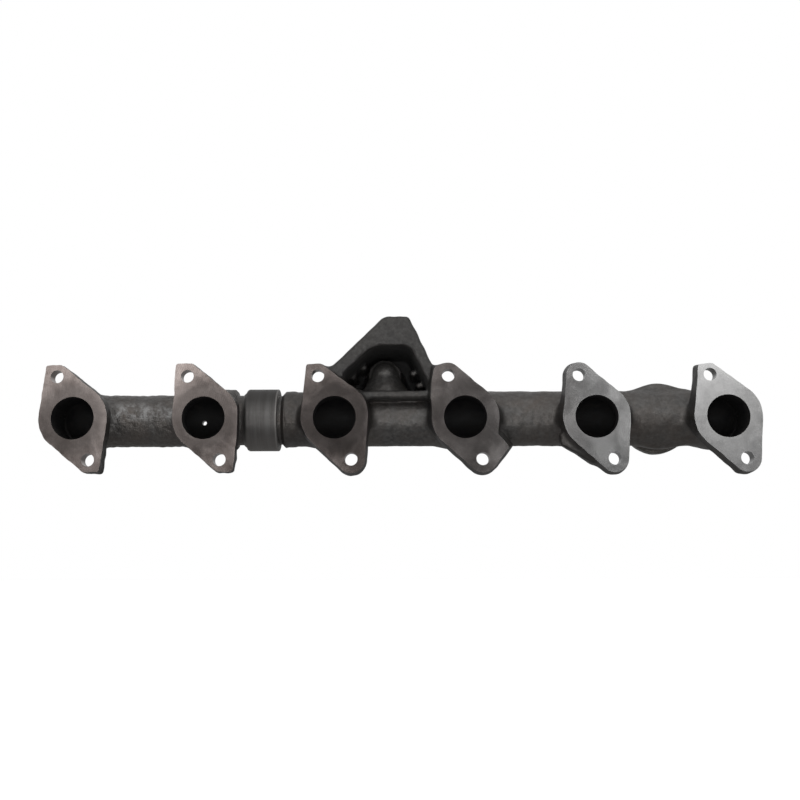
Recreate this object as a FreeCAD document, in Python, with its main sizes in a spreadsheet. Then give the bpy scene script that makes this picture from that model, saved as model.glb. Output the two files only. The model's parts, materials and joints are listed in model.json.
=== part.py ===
import FreeCAD, Part
import Sketcher
import math
import os
import re

# Exhaust manifold for an inline six: a front casting (ports 1 and 2) and a rear casting
# (ports 3 to 6) joined by a slip joint, so that the row of flanges can grow with heat.
# Frame: origin on the cylinder-head face, midway between ports 3 and 4 at bore height;
# +X along the row from port 1 to port 6, +Y away from the head, +Z up. Millimetres.

DIMENSIONS = {
    # ports and flanges
    "port_pitch": 137.0,
    "port_bore_r": 22.5,
    "port_disc_r": 34.5,
    "end_disc_r": 36.5,
    "lobe_r": 13.6,
    "bolt_across": 17.6,
    "bolt_up": 43.9,
    "bolt_hole_r": 6.75,
    "bolt_seat_r": 11.0,
    "flange_thick": 16.0,
    "corner_out": 12.5,
    "corner_r": 2.5,
    "overcut": 1.0,
    # log
    "log_depth": 50.0,
    "log_rise": 3.0,
    "log_bore_r": 22.5,
    "front_log_r": 28.0,
    "rear_log_r": 29.8,
    # slip joint, stations along X
    "shoulder_start": -200.0,
    "shoulder_slope": 6.0,
    "shoulder_bevel_long": 4.0,
    "shoulder_bevel_high": 3.0,
    "front_shoulder_r": 32.8,
    "front_shoulder_end": -176.2,
    "neck_r": 26.5,
    "land_r": 26.9,
    "front_land_start": -168.2,
    "front_spigot_end": -154.0,
    "rear_spigot_end": -145.0,
    "rear_land_end": -131.6,
    "rear_neck_end": -127.6,
    "rear_chamfer_end": -123.9,
    "rear_shoulder_r": 30.4,
    "rear_shoulder_end": -111.9,
    "spigot_bore_r": 21.0,
    "bore_step": 4.0,
    "spigot_chamfer": 0.8,
    "groove_bottom_r": 24.2,
    "groove_wide": 2.2,
    "front_groove_outer": -163.6,
    "front_groove_inner": -158.4,
    "rear_groove_inner": -141.2,
    "rear_groove_outer": -136.0,
    # sleeve and rings
    "sleeve_left": -168.6,
    "sleeve_right": -131.1,
    "sleeve_r": 33.6,
    "sleeve_bore_r": 27.2,
    "sleeve_lip_r": 27.8,
    "sleeve_bevel": 5.4,
    "bevel_break_long": 2.0,
    "bevel_break_high": 1.2,
    "sleeve_chamfer": 1.8,
    "ring_wide": 2.0,
    "ring_outer_r": 27.15,
    "ring_inner_r": 24.3,
    "ring_gap_angle": 2.5,
    # pressure tapping opposite port 2
    "tapping_x": -217.2,
    "tapping_drill_r": 2.5,
    "tapping_boss_r": 9.0,
    "tapping_face": 80.5,
    # turbocharger pad above the log, its pocket, ledge and outlet duct
    "pad_front": 5.0,
    "pad_face": 105.0,
    "plate_thick": 18.0,
    "plate_low": 8.0,
    "apex_left": -16.2,
    "apex_right": 9.4,
    "apex_high": 108.8,
    "left_run": 1.04,
    "right_run": 0.48,
    "pad_left_end": -80.0,
    "ledge_low": 20.0,
    "ledge_top": 28.6,
    "pocket_top": 77.0,
    "pocket_left": -28.5,
    "pocket_right": 10.4,
    "pocket_left_end": -64.0,
    "apex_fillet": 4.0,
    "pocket_fillet": 7.0,
    "duct_x": -16.5,
    "duct_r": 23.0,
    "duct_bore_r": 18.5,
    "duct_depth": 57.0,
    "duct_high": 43.0,
    "turbo_bore_r": 24.0,
    "turbo_bore_deep": 14.0,
    "turbo_pcd_r": 43.0,
    "turbo_drill_r": 4.25,
    "turbo_drill_deep": 15.0,
    # round gas outlet behind the log between ports 5 and 6
    "outlet_x": 284.0,
    "outlet_r": 37.0,
    "outlet_face": 92.0,
    "outlet_bore_r": 20.0,
    "outlet_pcd_r": 29.0,
    "outlet_drill_r": 3.4,
    "outlet_drill_deep": 14.0,
    # ear and rib beside the lower bolt of port 4
    "ear_inner": 25.3,
    "ear_notch": 34.8,
    "ear_out": 46.0,
    "ear_high": -18.8,
    "ear_mid": -31.5,
    "rib_thick": 10.0,
    "rib_inner": 26.3,
    "rib_outer": 50.5,
    "rib_start": 14.0,
    "rib_deep": 45.0,
}

PORT_PLACES = {number: number - 3.5 for number in range(1, 7)}
FRONT_PORTS = (1, 2)
REAR_PORTS = (3, 4, 5, 6)
TURBO_BOLT_ANGLES = (90, 210, 330)
OUTLET_BOLT_ANGLES = (90, 210, 330)
EAR_TANGENT_ANGLE = -42
RINGS = {
    "front_outer_ring": ("front_groove_outer", 60),
    "front_inner_ring": ("front_groove_inner", 240),
    "rear_inner_ring": ("rear_groove_inner", 120),
    "rear_outer_ring": ("rear_groove_outer", 300),
}

doc = FreeCAD.newDocument("exhaust_manifold")
sheet = doc.addObject("Spreadsheet::Sheet", "Dims")
for row, (alias, number) in enumerate(DIMENSIONS.items(), start=1):
    sheet.set("A%d" % row, alias)
    sheet.set("B%d" % row, str(number))
    sheet.setAlias("B%d" % row, alias)
doc.recompute()


def bound(text):
    """The expression with every alias in it written as a reference to the sheet."""
    return re.sub(
        r"[a-z_]+",
        lambda word: "Dims." + word.group() if word.group() in DIMENSIONS else word.group(),
        text,
    )


def value(text):
    """What an expression on the sheet's aliases comes to, in millimetres."""
    return float(sheet.evalExpression(bound(text)))


def port_x(number):
    return "(%s * port_pitch)" % PORT_PLACES[number]


def on_circle(centre, radius, angle):
    """Two expressions for a point on a circle at an angle from +X towards +Z."""
    turn = math.radians(angle)
    across = "%s + %s * %.6f" % (centre[0], radius, math.cos(turn))
    up = "%s + %s * %.6f" % (centre[1], radius, math.sin(turn))
    return across, up


# ---------------------------------------------------------------- sketches

def new_body(name):
    body = doc.addObject("PartDesign::Body", name)
    body.Label = name
    return body


def new_sketch(body, name, plane, shift=("0", "0", "0")):
    """A sketch on one of the body's own origin planes, moved by three expressions."""
    sketch = body.newObject("Sketcher::SketchObject", name)
    support = [item for item in body.Origin.OriginFeatures if item.Role == plane][0]
    sketch.AttachmentSupport = [(support, "")]
    sketch.MapMode = "FlatFace"
    for axis, amount in zip("xyz", shift):
        sketch.setExpression("AttachmentOffset.Base." + axis, bound(amount))
    return sketch


def section_sketch(body, name, depth="0"):
    """A sketch in a plane parallel to the head face, at a depth along +Y."""
    return new_sketch(body, name, "XZ_Plane", ("0", "0", "-(%s)" % depth))


def log_sketch(body, name):
    """A sketch through the log's axis: X along the log, Y the radius."""
    return new_sketch(body, name, "XY_Plane", ("0", "log_depth", "log_rise"))


def constrain(sketch, kind, references, expression=None):
    """One constraint, and where an expression is given its value is bound to the sheet."""
    if expression is None:
        return sketch.addConstraint(Sketcher.Constraint(kind, *references))
    index = sketch.addConstraint(Sketcher.Constraint(kind, *references, value(expression)))
    sketch.setExpression("Constraints[%d]" % index, bound(expression))
    return index


def place_point(sketch, geometry, end, point):
    constrain(sketch, "DistanceX", (-1, 1, geometry, end), point[0])
    constrain(sketch, "DistanceY", (-1, 1, geometry, end), point[1])


def vector(point):
    return FreeCAD.Vector(value(point[0]), value(point[1]), 0)


def add_polygon(sketch, corners):
    """A closed outline of straight lines with every corner bound to the sheet."""
    first = sketch.GeometryCount
    count = len(corners)
    for k in range(count):
        line = Part.LineSegment(vector(corners[k]), vector(corners[(k + 1) % count]))
        sketch.addGeometry(line)
    for k in range(count):
        constrain(sketch, "Coincident", (first + k, 2, first + (k + 1) % count, 1))
    for k in range(count):
        place_point(sketch, first + k, 1, corners[k])


def add_circle(sketch, centre, radius):
    circle = Part.Circle(vector(centre), FreeCAD.Vector(0, 0, 1), value(radius))
    index = sketch.addGeometry(circle)
    place_point(sketch, index, 3, centre)
    constrain(sketch, "Radius", (index,), radius)


def add_flange_outline(sketch, across, disc_radius):
    """A round land with two bolt lobes, one up to the left and one down to the right.

    Four arcs, each joined to the next by a line tangent to both.
    """
    disc_r = value(disc_radius)
    lobe_r = value("lobe_r")
    centre = (across, "0")
    upper = (across + " - bolt_across", "bolt_up")
    lower = (across + " + bolt_across", "-bolt_up")
    lean = math.atan2(value("bolt_up"), -value("bolt_across"))
    reach = math.hypot(value("bolt_up"), value("bolt_across"))
    spread = math.acos((disc_r - lobe_r) / reach)
    left = lean + spread
    right = lean - spread
    half_turn = math.pi
    stations = (
        (upper, "lobe_r", right, left),
        (centre, disc_radius, left, right + half_turn),
        (lower, "lobe_r", right + half_turn, left + half_turn),
        (centre, disc_radius, left + half_turn, right + 2 * half_turn),
    )
    up = FreeCAD.Vector(0, 0, 1)
    arcs = []
    for place, radius, start, end in stations:
        circle = Part.Circle(vector(place), up, value(radius))
        arcs.append(sketch.addGeometry(Part.ArcOfCircle(circle, start, end)))
    lines = []
    for k in range(4):
        tail = sketch.Geometry[arcs[k]].EndPoint
        head = sketch.Geometry[arcs[(k + 1) % 4]].StartPoint
        lines.append(sketch.addGeometry(Part.LineSegment(tail, head)))
    for k in range(4):
        constrain(sketch, "Tangent", (arcs[k], 2, lines[k], 1))
        constrain(sketch, "Tangent", (lines[k], 2, arcs[(k + 1) % 4], 1))
    for arc, (place, radius, start, end) in zip(arcs, stations):
        place_point(sketch, arc, 3, place)
        constrain(sketch, "Radius", (arc,), radius)


# ---------------------------------------------------------------- features

def finish(body, feature, grows):
    """Recompute, and stop if a feature that should add or cut metal did neither."""
    before = 0.0 if feature.BaseFeature is None else feature.BaseFeature.Shape.Volume
    doc.recompute()
    change = feature.Shape.Volume - before
    if (change > 0) != grows or abs(change) < 1e-3:
        raise RuntimeError("%s changed the volume by %.3f" % (feature.Name, change))
    return feature


def pad(body, sketch, length):
    """Metal from the sketch towards +Y."""
    feature = body.newObject("PartDesign::Pad", sketch.Name + "_pad")
    feature.Profile = sketch
    feature.Reversed = True
    feature.setExpression("Length", bound(length))
    return finish(body, feature, True)


def pocket(body, sketch, length):
    """A cut from the sketch towards +Y."""
    feature = body.newObject("PartDesign::Pocket", sketch.Name + "_pocket")
    feature.Profile = sketch
    feature.setExpression("Length", bound(length))
    return finish(body, feature, False)


def revolve(body, sketch, kind, angle="360"):
    """A turned shape, or a turned cut, about the sketch's horizontal axis."""
    feature = body.newObject("PartDesign::" + kind, sketch.Name + "_turned")
    feature.Profile = sketch
    feature.ReferenceAxis = (sketch, ["H_Axis"])
    feature.setExpression("Angle", bound(angle))
    return finish(body, feature, kind == "Revolution")


def primitive(body, kind, name, place, sizes, turn=None):
    """A PartDesign primitive whose base point and sizes are bound to the sheet."""
    feature = body.newObject("PartDesign::" + kind, name)
    if turn is not None:
        feature.Placement = FreeCAD.Placement(FreeCAD.Vector(), turn)
    for axis, amount in zip("xyz", place):
        feature.setExpression("Placement.Base." + axis, bound(amount))
    for size, amount in sizes.items():
        feature.setExpression(size, bound(amount))
    return finish(body, feature, kind.startswith("Additive"))


def round_edges(body, name, corners, radius):
    """Fillet the edges that run along Y through the given (X, Z) corners."""
    base = body.Tip
    wanted = [vector(corner) for corner in corners]
    names = []
    for number, edge in enumerate(base.Shape.Edges, start=1):
        ends = [vertex.Point for vertex in edge.Vertexes]
        if len(ends) != 2 or (ends[0] - ends[1]).Length < 4:
            continue
        for corner in wanted:
            flat = [FreeCAD.Vector(end.x, end.z, 0) for end in ends]
            if all((point - corner).Length < 0.01 for point in flat):
                names.append("Edge%d" % number)
    if len(names) < len(corners):
        raise RuntimeError("%s found %d edges" % (name, len(names)))
    feature = body.newObject("PartDesign::Fillet", name)
    feature.Base = (base, names)
    feature.setExpression("Radius", bound(radius))
    doc.recompute()
    return feature


# ---------------------------------------------------------------- castings

ALONG_Y = FreeCAD.Rotation(FreeCAD.Vector(1, 0, 0), -90)


def add_ports(body, ports, log_radius, disc_radii):
    """Runners from the flanges to the log, and the flanges themselves."""
    runners = section_sketch(body, body.Name + "_runners")
    flanges = section_sketch(body, body.Name + "_flanges")
    for number in ports:
        add_circle(runners, (port_x(number), "0"), log_radius)
        add_flange_outline(flanges, port_x(number), disc_radii[number])
    pad(body, runners, "log_depth")
    pad(body, flanges, "flange_thick")


def bolt_centres(ports):
    for number in ports:
        across = port_x(number)
        yield across + " - bolt_across", "bolt_up"
        yield across + " + bolt_across", "-bolt_up"


def cut_ports(body, ports):
    """Port bores into the log, and the bolt holes beside them."""
    bores = section_sketch(body, body.Name + "_port_bores")
    for number in ports:
        add_circle(bores, (port_x(number), "0"), "port_bore_r")
    pocket(body, bores, "log_depth")
    holes = section_sketch(body, body.Name + "_bolt_holes")
    for centre in bolt_centres(ports):
        add_circle(holes, centre, "bolt_hole_r")
    pocket(body, holes, "flange_thick + overcut")


def cut_bolt_seats(body, ports):
    """Room for the nuts and a socket behind the flanges, right past the pad's plate."""
    seats = section_sketch(body, body.Name + "_bolt_seats", "flange_thick")
    for centre in bolt_centres(ports):
        add_circle(seats, centre, "bolt_seat_r")
    pocket(body, seats, "pad_face - flange_thick + overcut")


def ring_groove(station):
    """Corners of a ring groove's section, cut from outside the land to its bottom."""
    left = "%s - groove_wide / 2" % station
    right = "%s + groove_wide / 2" % station
    return [(left, "groove_bottom_r"), (right, "groove_bottom_r"),
            (right, "sleeve_r"), (left, "sleeve_r")]


def cut_ring_grooves(body, stations):
    sketch = log_sketch(body, body.Name + "_ring_grooves")
    for station in stations:
        add_polygon(sketch, ring_groove(station))
    revolve(body, sketch, "Groove")


def make_front_section():
    """Ports 1 and 2, with the spigot that slides in the sleeve."""
    body = new_body("front_section")
    end_port = port_x(1)
    outside = log_sketch(body, "front_log_outside")
    add_polygon(outside, [
        (end_port, "0"),
        (end_port, "front_log_r"),
        ("shoulder_start", "front_log_r"),
        ("shoulder_start + shoulder_slope", "front_shoulder_r"),
        ("front_shoulder_end - shoulder_bevel_long", "front_shoulder_r"),
        ("front_shoulder_end", "front_shoulder_r - shoulder_bevel_high"),
        ("front_shoulder_end", "neck_r"),
        ("front_land_start", "neck_r"),
        ("front_land_start", "land_r"),
        ("front_spigot_end - spigot_chamfer", "land_r"),
        ("front_spigot_end", "land_r - spigot_chamfer"),
        ("front_spigot_end", "0"),
    ])
    revolve(body, outside, "Revolution")
    primitive(body, "AdditiveSphere", "front_log_end",
              (end_port, "log_depth", "log_rise"), {"Radius": "front_log_r"})
    primitive(body, "AdditiveCylinder", "tapping_boss",
              ("tapping_x", "log_depth", "log_rise"),
              {"Radius": "tapping_boss_r", "Height": "tapping_face - log_depth"}, ALONG_Y)
    add_ports(body, FRONT_PORTS, "front_log_r", {1: "end_disc_r", 2: "port_disc_r"})
    square_front_lobes(body)
    inside = log_sketch(body, "front_log_inside")
    add_polygon(inside, [
        (end_port, "0"),
        (end_port, "log_bore_r"),
        ("front_shoulder_end - 2 * bore_step", "log_bore_r"),
        ("front_shoulder_end - bore_step", "spigot_bore_r"),
        ("front_spigot_end + overcut", "spigot_bore_r"),
        ("front_spigot_end + overcut", "0"),
    ])
    revolve(body, inside, "Groove")
    primitive(body, "SubtractiveSphere", "front_log_cavity_end",
              (end_port, "log_depth", "log_rise"), {"Radius": "log_bore_r"})
    cut_ring_grooves(body, ("front_groove_outer", "front_groove_inner"))
    cut_ports(body, FRONT_PORTS)
    primitive(body, "SubtractiveCylinder", "tapping_drill",
              ("tapping_x", "log_depth", "log_rise"),
              {"Radius": "tapping_drill_r", "Height": "tapping_face - log_depth + overcut"}, ALONG_Y)
    return body


def square_front_lobes(body):
    """Square the outer corner of each bolt lobe on ports 1 and 2, then round it slightly."""
    sketch = section_sketch(body, "lobe_corners")
    corners = []
    for number in FRONT_PORTS:
        for side in ("-", "+"):
            other = "+" if side == "-" else "-"
            lobe_x = "%s %s bolt_across" % (port_x(number), side)
            lobe_z = "%sbolt_up" % ("" if side == "-" else "-")
            outer = ("%s %s corner_out" % (lobe_x, side), "%s %s lobe_r" % (lobe_z, other))
            add_polygon(sketch, [
                (lobe_x, lobe_z),
                (lobe_x, "%s %s lobe_r" % (lobe_z, other)),
                outer,
                ("%s %s (corner_out + lobe_r) / 2" % (lobe_x, side), lobe_z),
            ])
            corners.append(outer)
    pad(body, sketch, "flange_thick")
    round_edges(body, "lobe_corner_fillet", corners, "corner_r")


def pad_outline(bottom, left_end):
    """The turbocharger pad's sloping outline, cut off level at the bottom and at the left."""
    return [
        ("apex_left", "apex_high"),
        (left_end, "apex_high - (apex_left - (%s)) / left_run" % left_end),
        (left_end, bottom),
        ("apex_right + (apex_high - (%s)) * right_run" % bottom, bottom),
        ("apex_right", "apex_high"),
    ]


def pocket_outline():
    return [
        ("pocket_left", "pocket_top"),
        ("pocket_left_end", "pocket_top - (pocket_left - pocket_left_end) / left_run"),
        ("pocket_left_end", "ledge_top"),
        ("pocket_right + (pocket_top - ledge_top) * right_run", "ledge_top"),
        ("pocket_right", "pocket_top"),
    ]


def add_turbo_pad(body):
    """A deep-walled bracket open towards the head, closed by the turbocharger's plate."""
    walls = section_sketch(body, "pad_walls", "pad_front")
    outline = pad_outline("ledge_low", "pad_left_end")
    add_polygon(walls, outline)
    pad(body, walls, "pad_face - plate_thick - pad_front")
    round_edges(body, "apex_rounding", [outline[0], outline[4]], "apex_fillet")
    hollow = section_sketch(body, "pad_pocket", "pad_front")
    inner = pocket_outline()
    add_polygon(hollow, inner)
    pocket(body, hollow, "pad_face - plate_thick - pad_front")
    plate = section_sketch(body, "turbo_plate", "pad_face - plate_thick")
    edge = pad_outline("plate_low", "pad_left_end")
    add_polygon(plate, edge)
    pad(body, plate, "plate_thick")
    round_edges(body, "pocket_rounding", [inner[0], inner[3], inner[4]], "pocket_fillet")


def add_gas_duct(body):
    """The bell-shaped elbow that rises from the log inside the pocket, then turns to +Y."""
    primitive(body, "AdditiveCylinder", "duct_riser",
              ("duct_x", "duct_depth", "log_rise"),
              {"Radius": "duct_r", "Height": "duct_high - log_rise"})
    primitive(body, "AdditiveSphere", "duct_crown",
              ("duct_x", "duct_depth", "duct_high"), {"Radius": "duct_r"})
    primitive(body, "AdditiveCylinder", "duct_run",
              ("duct_x", "duct_depth", "duct_high"),
              {"Radius": "duct_r", "Height": "pad_face - duct_depth - overcut"}, ALONG_Y)


def cut_gas_duct(body):
    primitive(body, "SubtractiveCylinder", "duct_riser_bore",
              ("duct_x", "duct_depth", "log_rise"),
              {"Radius": "duct_bore_r", "Height": "duct_high - log_rise"})
    primitive(body, "SubtractiveSphere", "duct_crown_bore",
              ("duct_x", "duct_depth", "duct_high"), {"Radius": "duct_bore_r"})
    primitive(body, "SubtractiveCylinder", "duct_run_bore",
              ("duct_x", "duct_depth", "duct_high"),
              {"Radius": "duct_bore_r", "Height": "pad_face - duct_depth + overcut"}, ALONG_Y)
    mouth = section_sketch(body, "turbo_mouth", "pad_face - turbo_bore_deep")
    add_circle(mouth, ("duct_x", "duct_high"), "turbo_bore_r")
    pocket(body, mouth, "turbo_bore_deep + overcut")
    taps = section_sketch(body, "turbo_taps", "pad_face - turbo_drill_deep")
    for angle in TURBO_BOLT_ANGLES:
        add_circle(taps, on_circle(("duct_x", "duct_high"), "turbo_pcd_r", angle), "turbo_drill_r")
    pocket(body, taps, "turbo_drill_deep + overcut")


def add_round_outlet(body):
    primitive(body, "AdditiveCylinder", "outlet_boss",
              ("outlet_x", "log_depth", "log_rise"),
              {"Radius": "outlet_r", "Height": "outlet_face - log_depth"}, ALONG_Y)


def cut_round_outlet(body):
    primitive(body, "SubtractiveCylinder", "outlet_bore",
              ("outlet_x", "log_depth", "log_rise"),
              {"Radius": "outlet_bore_r", "Height": "outlet_face - log_depth + overcut"}, ALONG_Y)
    taps = section_sketch(body, "outlet_taps", "outlet_face - outlet_drill_deep")
    for angle in OUTLET_BOLT_ANGLES:
        add_circle(taps, on_circle(("outlet_x", "log_rise"), "outlet_pcd_r", angle), "outlet_drill_r")
    pocket(body, taps, "outlet_drill_deep + overcut")


def add_flange_ear(body):
    """A triangular ear beside the lower bolt of port 4, and the rib behind it."""
    across = port_x(4)
    lobe = (across + " + bolt_across", "-bolt_up")
    ear = section_sketch(body, "flange_ear")
    add_polygon(ear, [
        (across + " + ear_inner", "ear_high"),
        (across + " + ear_notch", "ear_high"),
        (across + " + ear_out", "ear_mid"),
        on_circle(lobe, "lobe_r", EAR_TANGENT_ANGLE),
        lobe,
    ])
    pad(body, ear, "flange_thick")
    rib = section_sketch(body, "ear_rib", "rib_start")
    add_polygon(rib, [
        (across + " + rib_inner", "log_rise - rear_log_r + rib_thick"),
        (across + " + ear_notch", "log_rise - rear_log_r + rib_thick"),
        (across + " + rib_outer", "log_rise - rear_log_r"),
        (across + " + ear_out", "ear_mid"),
        (across + " + ear_notch", "ear_mid - rib_thick"),
    ])
    pad(body, rib, "rib_deep - rib_start")


def make_rear_section():
    """Ports 3 to 6, the turbocharger pad, the round outlet and the other spigot."""
    body = new_body("rear_section")
    end_port = port_x(6)
    add_turbo_pad(body)
    outside = log_sketch(body, "rear_log_outside")
    add_polygon(outside, [
        ("rear_spigot_end", "0"),
        ("rear_spigot_end", "land_r - spigot_chamfer"),
        ("rear_spigot_end + spigot_chamfer", "land_r"),
        ("rear_land_end", "land_r"),
        ("rear_land_end", "neck_r"),
        ("rear_neck_end", "neck_r"),
        ("rear_chamfer_end", "rear_shoulder_r"),
        ("rear_shoulder_end", "rear_shoulder_r"),
        ("rear_shoulder_end", "rear_log_r"),
        (end_port, "rear_log_r"),
        (end_port, "0"),
    ])
    revolve(body, outside, "Revolution")
    primitive(body, "AdditiveSphere", "rear_log_end",
              (end_port, "log_depth", "log_rise"), {"Radius": "rear_log_r"})
    add_gas_duct(body)
    add_round_outlet(body)
    add_ports(body, REAR_PORTS, "rear_log_r", dict.fromkeys(REAR_PORTS, "port_disc_r"))
    add_flange_ear(body)
    inside = log_sketch(body, "rear_log_inside")
    add_polygon(inside, [
        ("rear_spigot_end - overcut", "0"),
        ("rear_spigot_end - overcut", "spigot_bore_r"),
        ("rear_chamfer_end", "spigot_bore_r"),
        ("rear_chamfer_end + bore_step", "log_bore_r"),
        (end_port, "log_bore_r"),
        (end_port, "0"),
    ])
    revolve(body, inside, "Groove")
    primitive(body, "SubtractiveSphere", "rear_log_cavity_end",
              (end_port, "log_depth", "log_rise"), {"Radius": "log_bore_r"})
    cut_ring_grooves(body, ("rear_groove_inner", "rear_groove_outer"))
    cut_bolt_seats(body, REAR_PORTS)
    cut_ports(body, REAR_PORTS)
    cut_gas_duct(body)
    cut_round_outlet(body)
    return body


# ---------------------------------------------------------------- slip joint

def place_on_log(body, station, turn=0.0):
    """Put a body that was turned about its own X axis on the log's axis."""
    rotation = FreeCAD.Rotation(FreeCAD.Vector(1, 0, 0), turn)
    body.Placement = FreeCAD.Placement(FreeCAD.Vector(), rotation)
    for axis, amount in zip("xyz", (station, "log_depth", "log_rise")):
        body.setExpression("Placement.Base." + axis, bound(amount))


def make_slip_sleeve():
    """The plain turned sleeve over both spigots, bevelled at its port 2 end."""
    body = new_body("slip_sleeve")
    length = "(sleeve_right - sleeve_left)"
    profile = new_sketch(body, "sleeve_profile", "XY_Plane")
    add_polygon(profile, [
        ("0", "sleeve_bore_r"),
        ("0", "sleeve_lip_r"),
        ("sleeve_bevel - bevel_break_long", "sleeve_r - bevel_break_high"),
        ("sleeve_bevel", "sleeve_r"),
        (length + " - sleeve_chamfer", "sleeve_r"),
        (length, "sleeve_r - sleeve_chamfer"),
        (length, "sleeve_bore_r"),
    ])
    revolve(body, profile, "Revolution")
    place_on_log(body, "sleeve_left")
    return body


def make_ring(name, station, clocking):
    """A split seal ring, sprung against the sleeve's bore, with its gap clocked round."""
    body = new_body(name)
    profile = new_sketch(body, name + "_profile", "XY_Plane")
    add_polygon(profile, [
        ("-ring_wide / 2", "ring_inner_r"),
        ("-ring_wide / 2", "ring_outer_r"),
        ("ring_wide / 2", "ring_outer_r"),
        ("ring_wide / 2", "ring_inner_r"),
    ])
    revolve(body, profile, "Revolution", "360 - ring_gap_angle")
    place_on_log(body, station, clocking)
    return body


# ---------------------------------------------------------------- build and write

def check_document():
    for item in doc.Objects:
        if "Invalid" in item.State or "Error" in item.State:
            raise RuntimeError("%s did not recompute: %s" % (item.Name, item.State))


def write_parts(bodies):
    os.makedirs("parts", exist_ok=True)
    for body in bodies:
        shape = body.Shape
        if shape.isNull() or not shape.isValid():
            raise RuntimeError(body.Label + " has no valid shape")
        if len(shape.Solids) != 1:
            raise RuntimeError("%s is %d solids" % (body.Label, len(shape.Solids)))
        shape.exportStep(os.path.join("parts", body.Label + ".step"))
        print("%-18s %10.1f mm3" % (body.Label, shape.Volume))


bodies = [make_front_section(), make_rear_section(), make_slip_sleeve()]
bodies += [make_ring(name, station, turn) for name, (station, turn) in RINGS.items()]
doc.recompute()
check_document()
write_parts(bodies)
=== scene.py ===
import json
import math

import bmesh
import bpy
import numpy as np
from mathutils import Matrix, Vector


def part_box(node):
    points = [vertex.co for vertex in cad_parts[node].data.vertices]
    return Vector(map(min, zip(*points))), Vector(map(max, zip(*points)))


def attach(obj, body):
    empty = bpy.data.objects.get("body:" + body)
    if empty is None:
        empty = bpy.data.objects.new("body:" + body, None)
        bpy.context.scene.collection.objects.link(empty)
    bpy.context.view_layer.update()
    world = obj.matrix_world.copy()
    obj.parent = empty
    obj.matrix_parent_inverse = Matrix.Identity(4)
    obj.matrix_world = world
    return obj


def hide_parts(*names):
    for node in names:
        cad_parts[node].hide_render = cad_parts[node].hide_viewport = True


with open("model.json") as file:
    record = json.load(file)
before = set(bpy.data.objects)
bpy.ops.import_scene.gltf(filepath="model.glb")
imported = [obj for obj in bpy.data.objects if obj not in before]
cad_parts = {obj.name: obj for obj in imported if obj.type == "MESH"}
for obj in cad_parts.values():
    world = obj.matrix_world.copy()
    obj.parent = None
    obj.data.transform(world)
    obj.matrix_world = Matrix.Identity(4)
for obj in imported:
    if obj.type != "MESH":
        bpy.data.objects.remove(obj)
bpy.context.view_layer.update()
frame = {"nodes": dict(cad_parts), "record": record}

import openvdb
from mathutils import Matrix, Vector

# The exhaust manifold's two castings, its sliding sleeve and its seal rings.
# Metres in Blender; the castings are worked out in millimetres, on the CAD frame's own axes:
# +X along the row of ports, +Y away from the cylinder head, +Z up.

MM = 0.001

# ---------------------------------------------------------------- sizes (mm)

MOUNTS = {mount["name"]: mount for mount in frame["record"]["mounts"]}


def mount_place(name):
    return np.array(MOUNTS[name]["pos_m"]) / MM


def mount_size(name, size):
    return MOUNTS[name]["dims"][size]


def node_box(name):
    low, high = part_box(name)
    return np.array(low) / MM, np.array(high) / MM


PORTS = {number: mount_place("port_%d_bore" % number)[0] for number in range(1, 7)}
FRONT_PORTS = (1, 2)
REAR_PORTS = (3, 4, 5, 6)
PORT_BORE_R = mount_size("port_1_bore", "r_mm")
BOLT_HOLE_R = mount_size("port_1_bolts", "hole_r_mm")
BOLT_REACH = mount_size("port_1_bolts", "pcd_mm") / 2
BOLT_ACROSS = 17.6
BOLT_UP = math.sqrt(BOLT_REACH ** 2 - BOLT_ACROSS ** 2)
FLANGE_THICK = 16.0
BOLT_SEAT_R = 11.0
PORT_DRILLED = 12.0

# For each port, how far the flange's disc stands right of the bore, the disc's radius, and
# the radii of the upper and lower lobes.
FLANGES = {
    1: (0.4, 35.9, 12.9, 12.9),
    2: (2.4, 35.0, 13.2, 12.9),
    3: (0.0, 34.7, 13.3, 14.6),
    4: (0.0, 34.9, 13.3, 14.6),
    5: (0.0, 34.9, 13.3, 14.6),
    6: (0.0, 35.3, 13.3, 14.6),
}
# Where a lobe has a square corner: the corner, then the end of the flat edge beside it. A
# lower lobe's are given as they would be with the flange turned half round.
UPPER, LOWER = 1, -1
SQUARED = {
    (1, UPPER): ((-29.9, 56.6), (-13.2, 56.5)),
    (1, LOWER): ((-30.0, 56.8), (-12.5, 56.8)),
    (2, UPPER): ((-30.0, 57.0), (-12.2, 57.7)),
    (2, LOWER): ((-31.4, 56.4), (-14.5, 56.6)),
    (3, UPPER): ((-29.8, 56.2), (-13.5, 56.8)),
    (6, UPPER): ((-29.9, 54.4), (-14.0, 56.0)),
}
CORNER_ROUND = 2.5
FLAT_END_ROUND = 4.0
# How much larger a flange grows for every millimetre of depth, and how thick it is.
FRONT_DRAFT, FRONT_THICK = 0.06, 16.0
REAR_DRAFT, REAR_THICK = 0.13, 17.0

SLEEVE_LOW, SLEEVE_HIGH = node_box("slip_sleeve")
SLEEVE_R = (SLEEVE_HIGH[2] - SLEEVE_LOW[2]) / 2
LOG_DEPTH = (SLEEVE_HIGH[1] + SLEEVE_LOW[1]) / 2
JOINT_AT = (SLEEVE_HIGH[0] + SLEEVE_LOW[0]) / 2
LOG_RISE = (SLEEVE_HIGH[2] + SLEEVE_LOW[2]) / 2
LOG_BORE_R = 22.5
FRONT_LOG_R = 27.7
FRONT_LOG_RISE = LOG_RISE - 0.5
REAR_LOG_R = 29.7
REAR_LOG_RISE = LOG_RISE + 0.85
SPIGOT_BORE_R = 21.0
NECK_R = 26.5
FRONT_NECK_R = 27.0
LAND_R = 26.9
GROOVE_R = 24.2
GROOVE_WIDE = 2.2

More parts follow.
